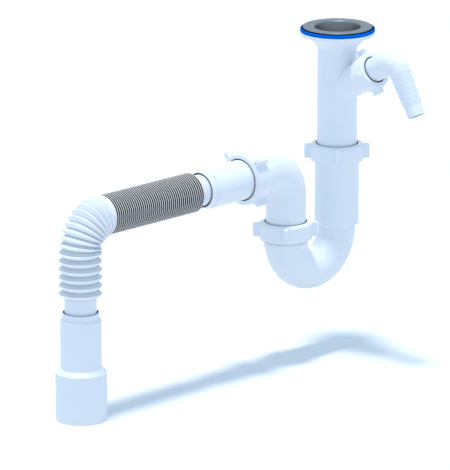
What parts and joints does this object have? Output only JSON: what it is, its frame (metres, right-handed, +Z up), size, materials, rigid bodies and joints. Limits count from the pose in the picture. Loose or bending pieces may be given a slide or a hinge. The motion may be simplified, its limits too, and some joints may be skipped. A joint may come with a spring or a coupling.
{
  "type": "sink trap",
  "caption": "White plastic sink trap: steel waste, tail pipe with barbed branch, U-bend, hand nuts, and a flexible bellows hose down to a stepped drain adapter.",
  "frame": {"origin": "centre of the sink seat: the top face of the sink gasket, on the axis of the tail pipe", "axes": "+Z up along the tail pipe into the sink; the outlet run goes towards -X; the branch for an appliance hose leans to -Y"},
  "size_m": [0.4173, 0.154, 0.3304],
  "materials": {
    "white_plastic": "moulded, soft sheen",
    "hose_plastic": "blow-moulded, soft sheen",
    "ring_plastic": "moulded",
    "seal_plastic": "waxy",
    "seal_rubber": "matte",
    "blue_rubber": "satin",
    "steel": "pressed, circular brushing",
    "screw_steel": "turned",
    "brass": "turned"
  },
  "bodies": {
    "inlet": {"waste_grate": "steel", "grate_screw": "screw_steel", "grate_insert": "brass", "sink_gasket": "blue_rubber", "inlet_body": "white_plastic"},
    "inlet_seal": {"inlet_cone_seal": "seal_plastic"},
    "trap": {"trap_bend": "white_plastic"},
    "inlet_ring": {"inlet_slip_ring": "ring_plastic"},
    "inlet_nut": {"inlet_nut": "white_plastic"},
    "elbow": {"outlet_elbow": "white_plastic", "outlet_cone_seal": "seal_plastic"},
    "outlet_ring": {"outlet_slip_ring": "ring_plastic"},
    "outlet_nut": {"outlet_nut": "white_plastic"},
    "sleeve": {"hose_sleeve": "white_plastic", "elbow_cone_seal": "seal_plastic", "sleeve_seal": "seal_rubber"},
    "elbow_ring": {"elbow_slip_ring": "ring_plastic"},
    "elbow_nut": {"elbow_nut": "white_plastic"},
    "hose": {"flexible_hose": "hose_plastic"},
    "adapter_ring": {"adapter_seal": "seal_rubber"},
    "adapter": {"end_adapter": "white_plastic"},
    "branch_joint": {"branch_gasket": "seal_rubber"},
    "nozzle": {"hose_nozzle": "white_plastic"},
    "branch_nut": {"branch_nut": "white_plastic"}
  },
  "joints": [
    {"name": "trap_height", "type": "slide", "parent": "inlet", "child": "inlet_seal", "axis": [0, 0, 1], "range_m": [-0.03, 0.02]},
    {"name": "trap_swivel", "type": "hinge", "parent": "inlet_seal", "child": "trap", "pos_m": [0, 0, -0.126], "axis": [0, 0, 1], "continuous": true},
    {"name": "inlet_nut_lift", "type": "slide", "parent": "trap", "child": "inlet_ring", "axis": [0, 0, 1], "range_m": [0, 0.006]},
    {"name": "inlet_nut_turn", "type": "hinge", "parent": "inlet_ring", "child": "inlet_nut", "pos_m": [0, 0, -0.126], "axis": [0, 0, 1], "range_deg": [0, 721]},
    {"name": "elbow_swivel", "type": "hinge", "parent": "trap", "child": "elbow", "pos_m": [-0.073, 0, -0.19], "axis": [0, 0, 1], "range_deg": [-100, 100]},
    {"name": "outlet_nut_lift", "type": "slide", "parent": "trap", "child": "outlet_ring", "axis": [0, 0, 1], "range_m": [0, 0.006]},
    {"name": "outlet_nut_turn", "type": "hinge", "parent": "outlet_ring", "child": "outlet_nut", "pos_m": [-0.073, 0, -0.194], "axis": [0, 0, 1], "range_deg": [0, 721]},
    {"name": "sleeve_swivel", "type": "hinge", "parent": "elbow", "child": "sleeve", "pos_m": [-0.128, 0, -0.1312], "axis": [-1, 0, 0], "continuous": true},
    {"name": "elbow_nut_lift", "type": "slide", "parent": "elbow", "child": "elbow_ring", "axis": [-1, 0, 0], "range_m": [0, 0.006]},
    {"name": "elbow_nut_turn", "type": "hinge", "parent": "elbow_ring", "child": "elbow_nut", "pos_m": [-0.128, 0, -0.1312], "axis": [-1, 0, 0], "range_deg": [0, 721]},
    {"name": "hose_slide", "type": "slide", "parent": "sleeve", "child": "hose", "axis": [-1, 0, 0], "range_m": [-0.01, 0.01]},
    {"name": "adapter_slide", "type": "slide", "parent": "hose", "child": "adapter_ring", "axis": [0, 0, -1], "range_m": [-0.012, 0.01]},
    {"name": "adapter_swivel", "type": "hinge", "parent": "adapter_ring", "child": "adapter", "pos_m": [-0.3548, 0, -0.232], "axis": [0, 0, 1], "continuous": true},
    {"name": "branch_lift", "type": "slide", "parent": "inlet", "child": "branch_joint", "axis": [0, -0.866, 0.5], "range_m": [0, 0.004]},
    {"name": "nozzle_swivel", "type": "hinge", "parent": "branch_joint", "child": "nozzle", "pos_m": [0, 0, -0.064], "axis": [0, -0.866, 0.5], "range_deg": [-95, 95]},
    {"name": "branch_nut_turn", "type": "hinge", "parent": "branch_joint", "child": "branch_nut", "pos_m": [0, 0, -0.064], "axis": [0, -0.866, 0.5], "range_deg": [0, 721]}
  ],
  "couplings": [
    {"joint": "inlet_nut_turn", "follows": "inlet_nut_lift", "rad_per_m": 2094.4},
    {"joint": "outlet_nut_turn", "follows": "outlet_nut_lift", "rad_per_m": 2094.4},
    {"joint": "elbow_nut_turn", "follows": "elbow_nut_lift", "rad_per_m": 2094.4},
    {"joint": "branch_nut_turn", "follows": "branch_lift", "rad_per_m": 3141.6}
  ]
}
